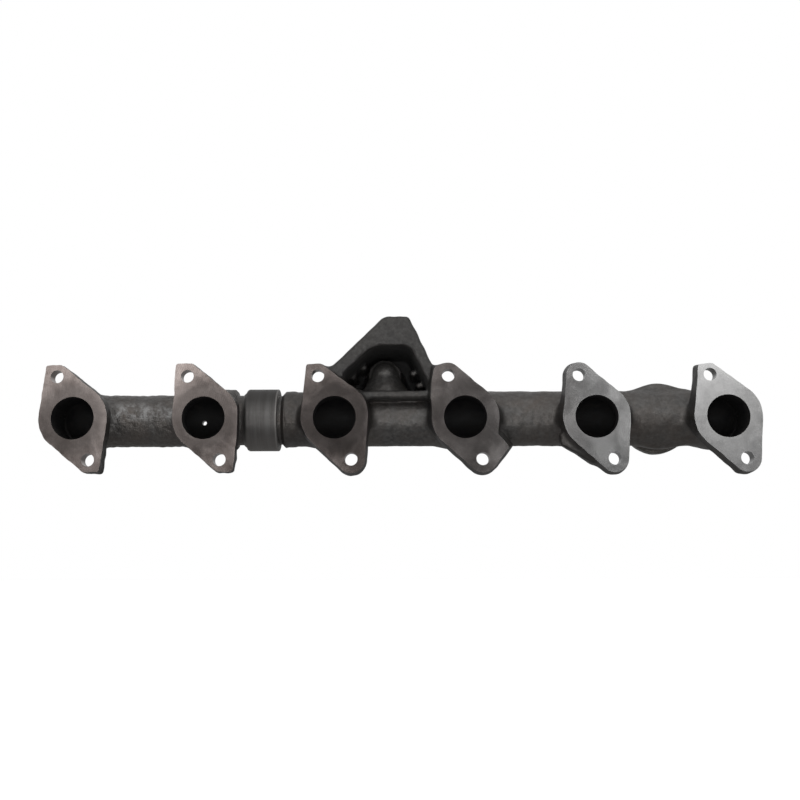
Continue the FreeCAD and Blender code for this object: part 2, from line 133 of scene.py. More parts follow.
FRONT_RINGS = ("front_outer_ring", "front_inner_ring")
REAR_RINGS = ("rear_inner_ring", "rear_outer_ring")
FRONT_SPIGOT_END = node_box("front_section")[1][0]
REAR_SPIGOT_END = node_box("rear_section")[0][0]

PAD_HIGH = node_box("rear_section")[1]
PAD_FACE = PAD_HIGH[1]
PAD_TOP = PAD_HIGH[2]
PAD_FRONT = 5.0
PLATE_THICK = 18.0
PLATE_BOTTOM = 8.0
LEDGE_LOW = 20.0
LEDGE_TOP = 28.6
# How far each slope of the pad runs sideways for every millimetre that it drops.
LEFT_RUN = 1.04
RIGHT_RUN = 0.48

DUCT = mount_place("turbo_bore")
OUTLET = mount_place("outlet_bore")
OUTLET_FACE = mount_place("outlet_face")[1]
TAPPING = mount_place("pressure_tapping")
TAPPING_BOSS_R = 9.0
TAPPING_FACE = 80.5
TURBO_TAP_DEEP = 15.0
OUTLET_TAP_DEEP = 14.0

# The grid's step, a distance beyond any shape, the castings' material slots, and the flats
# that stand for a drilled and for a turned circle.
VOXEL = 1.25
FAR = 1000.0
# The last slot holds painted shade, for the walls of the turbo pad's deep pocket.
CAST, MACHINED, SOOT, POCKET_SHADE = 0, 1, 2, 3
DRILLED_FLATS = 96
TURNED_FLATS = 192


# ---------------------------------------------------------------- distance fields

def blend(a, b, width):
    """Two solids joined, with a cast fillet about as wide as given where they meet."""
    if width == 0:
        return np.minimum(a, b)
    near = np.maximum(width - np.abs(a - b), 0) / width
    return np.minimum(a, b) - near * near * (width / 4)


def overlap(a, b, width=0.0):
    """What two solids share, with the edge between them rounded."""
    return -blend(-a, -b, width)


def rod(a, b, along, radius, low, high, rounding=0.0):
    """A round bar: a and b run across it, and along runs down it."""
    side = np.hypot(a, b) - radius
    ends = np.maximum(low - along, along - high)
    return overlap(side, ends, rounding)


def ball(a, b, c, radius):
    return np.sqrt(a * a + b * b + c * c) - radius


def slab(along, low, high):
    return np.maximum(low - along, along - high)


def convex(u, w, corners, rounding=0.0):
    """A convex outline, its corners listed the way the clock runs backwards."""
    inside = None
    for k, (u0, w0) in enumerate(corners):
        u1, w1 = corners[(k + 1) % len(corners)]
        length = math.hypot(u1 - u0, w1 - w0)
        edge = ((u - u0) * (w1 - w0) - (w - w0) * (u1 - u0)) / length
        inside = edge if inside is None else overlap(inside, edge, rounding)
    return inside


def tapered(u, w, first, second):
    """The hull of two circles, each (u, w, radius)."""
    run_u, run_w = second[0] - first[0], second[1] - first[1]
    length = math.hypot(run_u, run_w)
    lean_u, lean_w = run_u / length, run_w / length
    side = np.abs((u - first[0]) * lean_w - (w - first[1]) * lean_u)
    along = (u - first[0]) * lean_u + (w - first[1]) * lean_w
    sink = (first[2] - second[2]) / length
    rise = math.sqrt(1 - sink * sink)
    station = along * rise - side * sink
    flank = side * rise + along * sink - first[2]
    near_first = np.hypot(side, along) - first[2]
    near_second = np.hypot(side, along - length) - second[2]
    return np.where(station < 0, near_first, np.where(station > rise * length, near_second, flank))


def hull(u, w, circles):
    """The hull of circles, each (u, w, radius), listed the way the clock runs backwards."""
    outline = convex(u, w, [circle[:2] for circle in circles])
    for k, circle in enumerate(circles):
        outline = np.minimum(outline, tapered(u, w, circle, circles[(k + 1) % len(circles)]))
    return outline


class Casting:
    """Metal as signed distances on a grid, in millimetres, negative inside."""

    def __init__(self, low, high):
        self.low = np.array(low, np.float32)
        axes = [np.arange(a, b, VOXEL, dtype=np.float32) for a, b in zip(low, high)]
        self.x = axes[0][:, None, None]
        self.y = axes[1][None, :, None]
        self.z = axes[2][None, None, :]
        self.metal = np.full([len(axis) for axis in axes], FAR, np.float32)
        self.gas = self.metal.copy()
        self.recess = self.metal.copy()

    def join(self, shape, fillet=0.0):
        self.metal = blend(self.metal, shape.astype(np.float32), fillet)

    def cut(self, shape, rounding=0.0):
        self.metal = overlap(self.metal, -shape.astype(np.float32), rounding)

    def hollow(self, shape, rounding=0.0):
        """Cut a gas passage, whose walls the gas has blackened."""
        self.cut(shape, rounding)
        self.gas = np.minimum(self.gas, shape.astype(np.float32))

    def cut_recess(self, shape, rounding):
        """Cut a deep recess, and keep its shape for the painted shade on its walls."""
        self.cut(shape, rounding)
        self.recess = np.minimum(self.recess, shape.astype(np.float32))

    def roughen(self, seed, height, shortest):
        """Slow waves in the skin, as sand moulds leave them."""
        random = np.random.default_rng(seed)
        for _ in range(14):
            way = random.normal(size=3)
            way = way / np.linalg.norm(way) * (2 * math.pi / random.uniform(shortest, 30.0))
            start = random.uniform(0, 2 * math.pi)
            wave = np.sin(self.x * way[0] + self.y * way[1] + self.z * way[2] + start)
            self.metal = self.metal + (height / 4) * wave.astype(np.float32)

    def mesh(self, name):
        band = 3 * VOXEL
        grid = openvdb.FloatGrid(band)
        grid.copyFromArray(np.clip(self.metal, -band, band))
        points, triangles, quads = grid.convertToPolygons(0.0, 0.0)
        points = (points * VOXEL + self.low) * MM
        faces = [tuple(face[::-1]) for face in quads.tolist()]
        faces += [tuple(face[::-1]) for face in triangles.tolist()]
        data = bpy.data.meshes.new(name)
        data.from_pydata(points.tolist(), [], faces)
        data.update()
        centres = np.empty(len(faces) * 3, np.float32)
        data.polygons.foreach_get("center", centres)
        x, y, z = np.rint((centres.reshape(-1, 3) / MM - self.low) / VOXEL).astype(int).T
        finish = np.where(self.gas[x, y, z] < VOXEL, SOOT, CAST)
        # Faces on the deep pocket's walls, behind its rim, get the slot of painted shade.
        pocket_shaded = (np.abs(self.recess[x, y, z]) < VOXEL) & (self.y[0, y, 0] > PAD_FRONT + 3)
        finish = np.where(pocket_shaded, POCKET_SHADE, finish)
        data.polygons.foreach_set("material_index", finish.astype(np.int32))
        return data


# ---------------------------------------------------------------- the castings' shared shapes

def add_log(casting, radius, rise, low, high):
    """The round log, from one station along X to another."""
    casting.join(rod(casting.y - LOG_DEPTH, casting.z - rise, casting.x, radius, low, high))


def add_log_end(casting, radius, rise, station):
    casting.join(ball(casting.x - station, casting.y - LOG_DEPTH, casting.z - rise, radius))


def add_runners(casting, ports, radius):
    for number in ports:
        runner = rod(casting.x - PORTS[number], casting.z, casting.y, radius, -3, LOG_DEPTH)
        casting.join(runner, 15.0)


def flange_half(u, w, number, half):
    """A flange's disc with its upper lobe, or with its lower lobe turned half round."""
    off_centre, disc_r, upper_r, lower_r = FLANGES[number]
    disc = (off_centre * half, 0.0, disc_r)
    if (number, half) not in SQUARED:
        lobe_r = upper_r if half == UPPER else lower_r
        return tapered(u, w, disc, (-BOLT_ACROSS, BOLT_UP, lobe_r))
    (corner_u, corner_w), (end_u, end_w) = SQUARED[number, half]
    flat_end = (end_u - 2, end_w - FLAT_END_ROUND, FLAT_END_ROUND)
    corner = (corner_u + CORNER_ROUND, corner_w - CORNER_ROUND, CORNER_ROUND)
    return hull(u, w, [disc, flat_end, corner])


def add_flanges(casting, ports, draft, thick, fillet):
    """Flanges with moulding draft, so that they are a little larger at the back."""
    for number in ports:
        u, w = casting.x - PORTS[number], casting.z
        upper = flange_half(u, w, number, UPPER)
        lower = flange_half(-u, -w, number, LOWER)
        side = np.minimum(upper, lower) - draft * casting.y
        casting.join(overlap(side, slab(casting.y, -3, thick), 3.0), fillet)


def hollow_log(casting, low, high):
    y, z = casting.y - LOG_DEPTH, casting.z - LOG_RISE
    casting.hollow(rod(y, z, casting.x, LOG_BORE_R, low, high), 2.0)


def hollow_log_end(casting, station):
    y, z = casting.y - LOG_DEPTH, casting.z - LOG_RISE
    casting.hollow(ball(casting.x - station, y, z, LOG_BORE_R))


def hollow_runners(casting, ports):
    for number in ports:
        bore = rod(casting.x - PORTS[number], casting.z, casting.y, PORT_BORE_R + 0.8, -4, LOG_DEPTH)
        casting.hollow(np.maximum(bore, PORT_DRILLED - casting.y), 4.0)


# ---------------------------------------------------------------- front casting

# The swelling before the spigot: where it starts and ends along X, and its radius.
FRONT_SHOULDER = (-198.0, -176.2, 33.0)
FRONT_SHOULDER_RISE = LOG_RISE + 0.5
FLASH_HIGH = 0.7


def add_flash(casting, radius, rise, low, high, seed):
    """A ragged fin of metal along the mould's parting line, above and below the log."""
    random = np.random.default_rng(seed)
    x = casting.x
    ragged = sum(np.sin(x * random.uniform(0.15, 0.9) + random.uniform(0, 6)) for _ in range(5))
    height = radius - 0.6 + FLASH_HIGH * np.clip(0.45 + 0.35 * ragged, 0, 1.5)
    fin = overlap(np.abs(casting.z - rise) - height, np.abs(casting.y - LOG_DEPTH) - 1.6, 1.5)
    casting.join(np.maximum(fin, slab(x, low, high)), 2.0)


def front_casting_field():
    casting = Casting((-384, -4, -63), (-170, 84, 61))
    low, high, radius = FRONT_SHOULDER
    add_log(casting, FRONT_LOG_R, FRONT_LOG_RISE, PORTS[1], low + 6)
    add_log_end(casting, FRONT_LOG_R, FRONT_LOG_RISE, PORTS[1])
    add_flash(casting, FRONT_LOG_R, FRONT_LOG_RISE, PORTS[1], PORTS[2], 7)
    y, z = casting.y - LOG_DEPTH, casting.z - FRONT_SHOULDER_RISE
    casting.join(rod(y, z, casting.x, radius, low, high, 5.0), 6.0)
    add_runners(casting, FRONT_PORTS, FRONT_LOG_R)
    u, w = casting.x - TAPPING[0], casting.z - TAPPING[2]
    boss = rod(u, w, casting.y, TAPPING_BOSS_R, LOG_DEPTH, TAPPING_FACE + 0.3, 1.5)
    casting.join(boss, 7.0)
    add_flanges(casting, FRONT_PORTS, FRONT_DRAFT, FRONT_THICK, 6.0)
    casting.roughen(11, 0.36, 5.5)
    hollow_log(casting, PORTS[1], high - 8)
    hollow_log_end(casting, PORTS[1])
    hollow_runners(casting, FRONT_PORTS)
    return casting


# ---------------------------------------------------------------- rear casting

REAR_SHOULDER = (-123.9, -111.9, 30.4)
# The level tops of the pad and of its pocket: from and to, along X.
APEX = (-16.2, 9.4)
POCKET_TOP_ENDS = (-28.5, 10.4)
POCKET_TOP = 77.0
POCKET_LEFT = -64.0
PAD_LEFT = -80.0
# The lugs on the plate inside the pocket: (x, z) of each, where they start, their radius.
POCKET_BOSSES = ((-51.8, 51.3), (-39.8, 61.5), (14.7, 54.6), (21.3, 41.0))
BOSS_FRONT = 50.0
BOSS_R = 4.0
# The ear, from port 4's middle: its notch and tip, the bearing at which its lower edge leaves
# the bolt lobe, and how far it spreads right and up for every millimetre of depth.
EAR_NOTCH = (34.6, -18.6)
EAR_TIP = (45.6, -31.8)
EAR_TANGENT = math.radians(-42)
EAR_SPREAD = (0.20, 0.23)


def pad_outline(casting, bottom, rounding):
    """The pad's two slopes, apex and level bottom, seen from the head."""
    drop = PAD_TOP - bottom
    left_drop = (APEX[0] - PAD_LEFT) / LEFT_RUN
    corners = [
        (PAD_LEFT, bottom),
        (APEX[1] + RIGHT_RUN * drop, bottom),
        (APEX[1], PAD_TOP),
        (APEX[0], PAD_TOP),
        (PAD_LEFT, PAD_TOP - left_drop),
    ]
    return convex(casting.x, casting.z, corners, rounding)


def pocket_outline(casting):
    drop = POCKET_TOP - LEDGE_TOP
    left_drop = (POCKET_TOP_ENDS[0] - POCKET_LEFT) / LEFT_RUN
    corners = [
        (POCKET_LEFT, LEDGE_TOP),
        (POCKET_TOP_ENDS[1] + RIGHT_RUN * drop, LEDGE_TOP),
        (POCKET_TOP_ENDS[1], POCKET_TOP),
        (POCKET_TOP_ENDS[0], POCKET_TOP),
        (POCKET_LEFT, POCKET_TOP - left_drop),
    ]
    return convex(casting.x, casting.z, corners, 9.0)


def add_turbo_pad(casting):
    plate_front = PAD_FACE - PLATE_THICK
    outline = pad_outline(casting, LEDGE_LOW, 3.5)
    body = overlap(outline - 0.012 * casting.y, slab(casting.y, PAD_FRONT, PAD_FACE - 2), 5.0)
    casting.join(body)
    pocket = pocket_outline(casting) + 0.03 * casting.y
    casting.cut_recess(overlap(pocket, slab(casting.y, PAD_FRONT - 9, plate_front), 5.0), 4.0)
    plate = pad_outline(casting, PLATE_BOTTOM, 5.0)
    casting.join(overlap(plate - 0.8, slab(casting.y, plate_front, PAD_FACE + 2), 2.0), 3.0)
    for across, up in POCKET_BOSSES:
        u, w = casting.x - across, casting.z - up
        casting.join(rod(u, w, casting.y, BOSS_R, BOSS_FRONT, PAD_FACE - 4, 3.8), 3.5)


def add_duct(casting):
    """The bell that rises from the log in the pocket, and its run to the pad's plate."""
    x, y, z = casting.x - DUCT[0], casting.y, casting.z
    crown_high, crown_deep, crown_r = DUCT[2] + 7.6, 50.5, 15.6
    flare = np.clip((crown_high - z) / 30.0, 0, 0.9)
    bell = np.hypot(x, y - crown_deep - 2 * flare) - (crown_r + 19.5 * flare ** 1.1)
    bell = np.maximum(bell * 0.85, np.maximum(z - crown_high, LEDGE_LOW + 1 - z))
    casting.join(bell, 3.0)
    casting.join(ball(x, y - crown_deep, z - crown_high, crown_r), 1.0)
    swell = np.clip((y - crown_deep) / 38.0, 0, 1)
    run = np.hypot(x, z - crown_high + 6.0 * swell) - (crown_r + 1.8 + 7.0 * swell)
    casting.join(overlap(run * 0.92, slab(y, crown_deep - 5, PAD_FACE - 4), 1.5), 1.0)


def add_outlet(casting):
    """The round outlet boss behind the log, swelling smoothly over it on top."""
    x, y, z = casting.x - OUTLET[0], casting.y, casting.z - OUTLET[2]
    casting.join(rod(x + 3.0, z - 4.0, y, 34.7, LOG_DEPTH - 2, OUTLET_FACE - 6, 4.0), 12.0)
    casting.join(rod(x, z - 1.5, y, 36.7, OUTLET_FACE - 15, OUTLET_FACE + 2, 1.5), 2.5)


def add_ear(casting):
    """The triangular ear beside port 4's lower bolt, which spreads as it runs back to the log."""
    back = np.clip(casting.y, 0, REAR_THICK)
    u = casting.x - PORTS[4] - EAR_SPREAD[0] * back
    w = casting.z - EAR_SPREAD[1] * back
    lobe, lobe_r = (BOLT_ACROSS, -BOLT_UP), FLANGES[4][3]
    touch = (lobe[0] + lobe_r * math.cos(EAR_TANGENT), lobe[1] + lobe_r * math.sin(EAR_TANGENT))
    ear = convex(u, w, [lobe, touch, EAR_TIP, EAR_NOTCH, (EAR_NOTCH[0] - 9, EAR_NOTCH[1])], 3.0)
    casting.join(overlap(ear - REAR_DRAFT * back, slab(casting.y, -3, 37), 3.0), 2.5)


def add_web(casting):
    """The web between the pad's right wall and port 4's upper bolt lobe."""
    u, w = casting.x - PORTS[4], casting.z
    web = convex(u, w, [(-38, 20), (-6, 26), (-10, 46), (-26, 53.0), (-34, 55.5)], 4.0)
    casting.join(overlap(web, slab(casting.y, 1.5, 30), 3.0), 3.0)


def add_gusset(casting):
    """The gusset that runs from under the log to port 5's lower bolt."""
    u, w = casting.x - PORTS[5], casting.z
    gusset = convex(u, w, [(-37.5, -28.8), (-5.8, -47.0), (4, -46), (4, -20), (-38, -18)], 2.0)
    casting.join(overlap(gusset, slab(casting.y, 6, 18), 2.5), 3.0)


def rear_casting_field():
    casting = Casting((-126, -4, -63), (382, 109, 113))
    low, high, radius = REAR_SHOULDER
    add_turbo_pad(casting)
    add_log(casting, REAR_LOG_R, REAR_LOG_RISE, low + 4, PORTS[6])
    y, z = casting.y - LOG_DEPTH, casting.z - REAR_LOG_RISE
    casting.join(rod(y, z, casting.x, radius, low, high, 1.0), 0.5)
    add_log_end(casting, REAR_LOG_R, REAR_LOG_RISE, PORTS[6])
    add_duct(casting)
    add_outlet(casting)
    add_runners(casting, REAR_PORTS, REAR_LOG_R)
    add_web(casting)
    add_gusset(casting)
    add_flanges(casting, REAR_PORTS, REAR_DRAFT, REAR_THICK, 9.0)
    add_ear(casting)
    casting.roughen(23, 0.22, 7.0)
    hollow_log(casting, low + 4, PORTS[6])
    hollow_log_end(casting, PORTS[6])
    hollow_runners(casting, REAR_PORTS)
    hollow_duct(casting)
    x, z = casting.x - OUTLET[0], casting.z - OUTLET[2]
    casting.hollow(rod(x, z, casting.y, 19.0, LOG_DEPTH, OUTLET_FACE + 4), 3.0)
    return casting


def hollow_duct(casting):
    x, y, z = casting.x - DUCT[0], casting.y, casting.z
    crown_high, crown_deep, bore_r = DUCT[2] + 5.5, 51.5, 11.5
    swell = np.clip((y - crown_deep) / 34.0, 0, 1)
    flare = np.clip((crown_high - z) / 30.0, 0, 1)
    riser = np.hypot(x, y - crown_deep - 2 * flare) - (bore_r + 7 * flare)
    casting.hollow(np.maximum(riser, slab(z, LOG_RISE, crown_high)), 2.0)
    casting.hollow(ball(x, y - crown_deep, z - crown_high, bore_r))
    run = np.hypot(x, z - crown_high + 6.0 * swell) - (bore_r + 9.0 * swell)
    casting.hollow(np.maximum(run, slab(y, crown_deep, PAD_FACE + 4)), 2.0)


# ---------------------------------------------------------------- turned and drilled shapes

def make_mesh(name, points, faces, index):
    data = bpy.data.meshes.new(name)
    data.from_pydata(points, [], faces)
    data.update()
    for polygon in data.polygons:
        polygon.material_index = index
    return data


def turned_points(profile, centre):
    """A profile of (station, radius) points, repeated round a line along X."""
    points = []
    for k in range(TURNED_FLATS):
        angle = 2 * math.pi * k / TURNED_FLATS
        for station, radius in profile:
            points.append((
                (centre[0] + station) * MM,
                (centre[1] + radius * math.cos(angle)) * MM,
                (centre[2] + radius * math.sin(angle)) * MM,
            ))
    return points


def tube_turned(name, profile, centre, index):
    """A tube turned about a line along X, from its closed profile."""
    size, faces = len(profile), []
    for k in range(TURNED_FLATS):
        here, there = k * size, ((k + 1) % TURNED_FLATS) * size
        for m in range(size):
            after = (m + 1) % size
            faces.append((here + m, here + after, there + after, there + m))
    return make_mesh(name, turned_points(profile, centre), faces, index)


def bar_turned(name, profile, centre, machined):
    """A solid bar turned about a line along X: its profile starts and ends on that line.

    Only what lies between the two machined stations has been turned; the rest is as cast.
    """
    points = [((centre[0] + end[0]) * MM, centre[1] * MM, centre[2] * MM)
              for end in (profile[0], profile[-1])]
    rings = profile[1:-1]
    points += turned_points(rings, centre)
    size, faces = len(rings), []
    for k in range(TURNED_FLATS):
        here, there = 2 + k * size, 2 + ((k + 1) % TURNED_FLATS) * size
        faces.append((0, here, there))
        faces.append((1, there + size - 1, here + size - 1))
        for m in range(size - 1):
            faces.append((here + m, here + m + 1, there + m + 1, there + m))
    data = make_mesh(name, points, faces, CAST)
    low, high = machined
    for polygon in data.polygons:
        if low < polygon.center[0] / MM < high:
            polygon.material_index = MACHINED
    return data


def drill(name, place, radius, index=MACHINED, along="y"):
    """A round cutter along Y or X. Its place is its two ends, then its middle across them."""
    start, end, a, b = place
    points = []
    for station in (start, end):
        for k in range(DRILLED_FLATS):
            angle = 2 * math.pi * k / DRILLED_FLATS
            across, up = a + radius * math.cos(angle), b + radius * math.sin(angle)
            point = (across, station, up) if along == "y" else (station, across, up)
            points.append(tuple(value * MM for value in point))
    faces = []
    for k in range(DRILLED_FLATS):
        after = (k + 1) % DRILLED_FLATS
        faces.append((k, after, after + DRILLED_FLATS, k + DRILLED_FLATS))
    faces.append(tuple(range(DRILLED_FLATS - 1, -1, -1)))
    faces.append(tuple(range(DRILLED_FLATS, 2 * DRILLED_FLATS)))
    return make_mesh(name, points, faces, index)


def block(name, low, high):
    """A square cutter, for a face milled flat."""
    corners = [(x * MM, y * MM, z * MM) for x in (low[0], high[0])
               for y in (low[1], high[1]) for z in (low[2], high[2])]
    faces = [(0, 1, 3, 2), (4, 6, 7, 5), (0, 4, 5, 1), (2, 3, 7, 6), (0, 2, 6, 4), (1, 5, 7, 3)]
    return make_mesh(name, corners, faces, MACHINED)


def point_outward(data):
    """Turn a closed mesh's faces so that they all look out."""
    work = bmesh.new()
    work.from_mesh(data)
    bmesh.ops.recalc_face_normals(work, faces=work.faces)
    work.to_mesh(data)
    work.free()


def new_object(name, data):
    item = bpy.data.objects.new(name, data)
    bpy.context.scene.collection.objects.link(item)
    return item


def carve(item, operation, tool_meshes):
    """Cut with, or join on, each tool in turn; the tools' own faces keep their finish."""
    for data in tool_meshes:
        point_outward(data)
        for material in item.data.materials:
            data.materials.append(material)
        tool = new_object(data.name, data)
        change = item.modifiers.new("carve", "BOOLEAN")
        change.operation = operation
        change.solver = "MANIFOLD"
        change.material_mode = "INDEX"
        change.object = tool
        graph = bpy.context.evaluated_depsgraph_get()
        made = bpy.data.meshes.new_from_object(item.evaluated_get(graph))
        item.modifiers.clear()
        if len(made.polygons) < 100:
            raise RuntimeError("%s came out empty" % data.name)
        item.data = made
        bpy.data.objects.remove(tool)


def shade(item, angle):
    """Smooth faces, with the edges sharper than the angle and the milled flats kept crisp."""
    data = item.data
    count = len(data.polygons)
    normals = np.empty(count * 3, np.float32)
    finish = np.empty(count, np.int32)
    data.polygons.foreach_get("normal", normals)
    data.polygons.foreach_get("material_index", finish)
    flat = (np.abs(normals.reshape(-1, 3)[:, 1]) > 0.9999) & (finish == MACHINED)
    data.polygons.foreach_set("use_smooth", ~flat)
    data.set_sharp_from_angle(angle=math.radians(angle))


# ---------------------------------------------------------------- making the pieces

def groove_profile(stations):
    """The land's outline as it dips into each ring groove."""
    points = []
    for station in stations:
        left, right = station - GROOVE_WIDE / 2, station + GROOVE_WIDE / 2
        points += [(left, LAND_R), (left, GROOVE_R), (right, GROOVE_R), (right, LAND_R)]
    return points


def ring_station(name):
    low, high = node_box(name)
    return (low[0] + high[0]) / 2


def port_tools(ports):
    """Machined faces, port bores, bolt holes and the spot faces behind the flanges."""
    tools = [block("head_face", (-400, -20, -80), (400, 0, 80))]
    for number in ports:
        across = PORTS[number]
        tools.append(drill("port", (-5, PORT_DRILLED + 3, across, 0), PORT_BORE_R, SOOT))
        for side in (-1, 1):
            place = (-5, FLANGE_THICK + 6, across + side * BOLT_ACROSS, -side * BOLT_UP)
            if number in REAR_PORTS:
                seat = (FLANGE_THICK - 0.2, 38, place[2], place[3])
                tools.append(drill("seat", seat, BOLT_SEAT_R))
            tools.append(drill("bolt", place, BOLT_HOLE_R))
    return tools


def cast_piece(name, casting, materials):
    item = new_object(name, casting.mesh(name))
    for material in materials:
        item.data.materials.append(material)
    return item


def make_front(materials):
    item = cast_piece("front_casting_shell", front_casting_field(), materials)
    axis = (0, LOG_DEPTH, LOG_RISE)
    end = FRONT_SPIGOT_END
    # Out of the shoulder, down to the neck, up to the land and past the grooves to the end.
    profile = [(-182, 0), (-182, NECK_R + 2.4), (-176.6, NECK_R + 2.4), (-175.4, NECK_R + 1.2),
               (-173.6, FRONT_NECK_R), (-168.8, FRONT_NECK_R), (-168.2, LAND_R)]
    profile += groove_profile(sorted(map(ring_station, FRONT_RINGS)))
    profile += [(end - 0.8, LAND_R), (end, LAND_R - 0.8), (end, 0)]
    carve(item, "UNION", [bar_turned("spigot", profile, axis, (-168.9, end + 1))])
    tools = port_tools(FRONT_PORTS)
    bore = (-192, end + 5, LOG_DEPTH, LOG_RISE)
    tools.append(drill("spigot_bore", bore, SPIGOT_BORE_R, SOOT, "x"))
    tools.append(block("tapping_face", (-240, TAPPING_FACE, -20), (-200, 90, 25)))
    tapping = (60, 95, TAPPING[0], TAPPING[2])
    tools.append(drill("tapping", tapping, mount_size("pressure_tapping", "r_mm")))
    carve(item, "DIFFERENCE", tools)
    return item


def make_rear(materials):
    item = cast_piece("rear_casting_shell", rear_casting_field(), materials)
    axis = (0, LOG_DEPTH, LOG_RISE)
    start, shoulder_r = REAR_SPIGOT_END, REAR_SHOULDER[2]
    # From the spigot's end over the land and its grooves, down to the neck, into the shoulder.
    profile = [(start, 0), (start, LAND_R - 0.8), (start + 0.8, LAND_R)]
    profile += groove_profile(sorted(map(ring_station, REAR_RINGS)))
    profile += [(-131.6, LAND_R), (-131.2, NECK_R), (-127.6, NECK_R), (-124.1, shoulder_r - 0.2),
                (-119.0, shoulder_r - 1.2), (-119.0, 0)]
    carve(item, "UNION", [bar_turned("spigot", profile, axis, (start - 1, -131.1))])
    tools = port_tools(REAR_PORTS)
    bore = (start - 5, -112, LOG_DEPTH, LOG_RISE)
    tools.append(drill("spigot_bore", bore, SPIGOT_BORE_R, SOOT, "x"))
    tools.append(block("turbo_face", (-120, PAD_FACE, -20), (120, PAD_FACE + 20, 140)))
    tools.append(block("outlet_face", (200, OUTLET_FACE, -60), (350, OUTLET_FACE + 20, 60)))
    tools += mouth_tools("turbo", DUCT, PAD_FACE, TURBO_TAP_DEEP)
    tools += mouth_tools("outlet", OUTLET, OUTLET_FACE, OUTLET_TAP_DEEP)
    carve(item, "DIFFERENCE", tools)
    return item


def mouth_tools(name, place, face, tap_deep):
    """A gas mouth's bore and the tapped holes round it."""
    deep = mount_size(name + "_bore", "length_mm")
    bore = (face - deep, face + 5, place[0], place[2])
    tools = [drill(name, bore, mount_size(name + "_bore", "r_mm"))]
    pitch_r = mount_size(name + "_bolts", "pcd_mm") / 2
    for angle in (90, 210, 330):
        across = place[0] + pitch_r * math.cos(math.radians(angle))
        up = place[2] + pitch_r * math.sin(math.radians(angle))
        hole = (face - tap_deep, face + 5, across, up)
        tools.append(drill(name + "_tap", hole, mount_size(name + "_bolts", "hole_r_mm")))
    return tools


def arc(centre, radius, start, end, count):
    """Points of a (station, radius) profile round a corner, angles in degrees."""
    points = []
    for k in range(count + 1):
        angle = math.radians(start + (end - start) * k / count)
        points.append((centre[0] + radius * math.cos(angle), centre[1] + radius * math.sin(angle)))
    return points


def make_sleeve(material):
    """The turned sleeve: a long bevel with a soft shoulder at one end, a small radius at the other."""
    length = SLEEVE_HIGH[0] - SLEEVE_LOW[0]
    profile = [(0.0, 27.2), (0.0, 28.0), (0.5, 28.5), (3.4, 31.0)]
    profile += arc((6.2, SLEEVE_R - 3.4), 3.4, 140, 90, 6)
    profile += [(length * 0.33, SLEEVE_R), (length * 0.66, SLEEVE_R)]
    profile += arc((length - 1.1, SLEEVE_R - 1.1), 1.1, 90, 0, 5)
    profile += [(length, 27.8), (length - 0.6, 27.2)]
    corner = (SLEEVE_LOW[0], LOG_DEPTH, LOG_RISE)
    item = new_object("sleeve_tube", tube_turned("sleeve_tube", profile, corner, 0))
    item.data.materials.append(material)
    point_outward(item.data)
    return item


# ---------------------------------------------------------------- shading

class Nodes:
    """A short way to write a material's or world's nodes."""

    def __init__(self, tree):
        self.tree = tree
        self.tree.nodes.clear()

    def add(self, kind, inputs=None, **settings):
        node = self.tree.nodes.new(kind)
        for name, value in settings.items():
            setattr(node, name, value)
        for name, value in (inputs or {}).items():
            self.feed(node.inputs[name], value)
        return node

    def feed(self, socket, value):
        if isinstance(value, bpy.types.NodeSocket):
            self.tree.links.new(value, socket)
        else:
            socket.default_value = value

    def math(self, operation, first, second=0.0):
        node = self.add("ShaderNodeMath", {0: first, 1: second}, operation=operation)
        return node.outputs[0]

    def noise(self, vector, scale, detail=3.0, rough=0.55, distortion=0.0):
        settings = {"Vector": vector, "Scale": scale, "Detail": detail, "Roughness": rough,
                    "Distortion": distortion}
        return self.add("ShaderNodeTexNoise", settings).outputs["Fac"]

    def spread(self, value, low, high, to_low=0.0, to_high=1.0):
        settings = {"Value": value, "From Min": low, "From Max": high,
                    "To Min": to_low, "To Max": to_high}
        return self.add("ShaderNodeMapRange", settings).outputs["Result"]

    def mix(self, share, first, second):
        """Two colours mixed; a mix node keeps its colours on sockets 6 and 7."""
        node = self.add("ShaderNodeMix", {0: share, 6: first, 7: second}, data_type="RGBA")
        return node.outputs[2]

    def bump(self, height, strength, distance, normal=None):
        settings = {"Height": height, "Strength": strength, "Distance": distance}
        if normal is not None:
            settings["Normal"] = normal
        return self.add("ShaderNodeBump", settings).outputs["Normal"]


def grey(level, warmth=0.0):
    return (level * (1 + warmth), level, level * (1 - warmth), 1.0)


def new_material(name):
    material = bpy.data.materials.new(name)
    material.use_nodes = True
    nodes = Nodes(material.node_tree)
    shader = nodes.add("ShaderNodeBsdfPrincipled")
    output = nodes.add("ShaderNodeOutputMaterial")
    nodes.feed(output.inputs["Surface"], shader.outputs["BSDF"])
    place = nodes.add("ShaderNodeTexCoord").outputs["Object"]
    return material, nodes, shader, place


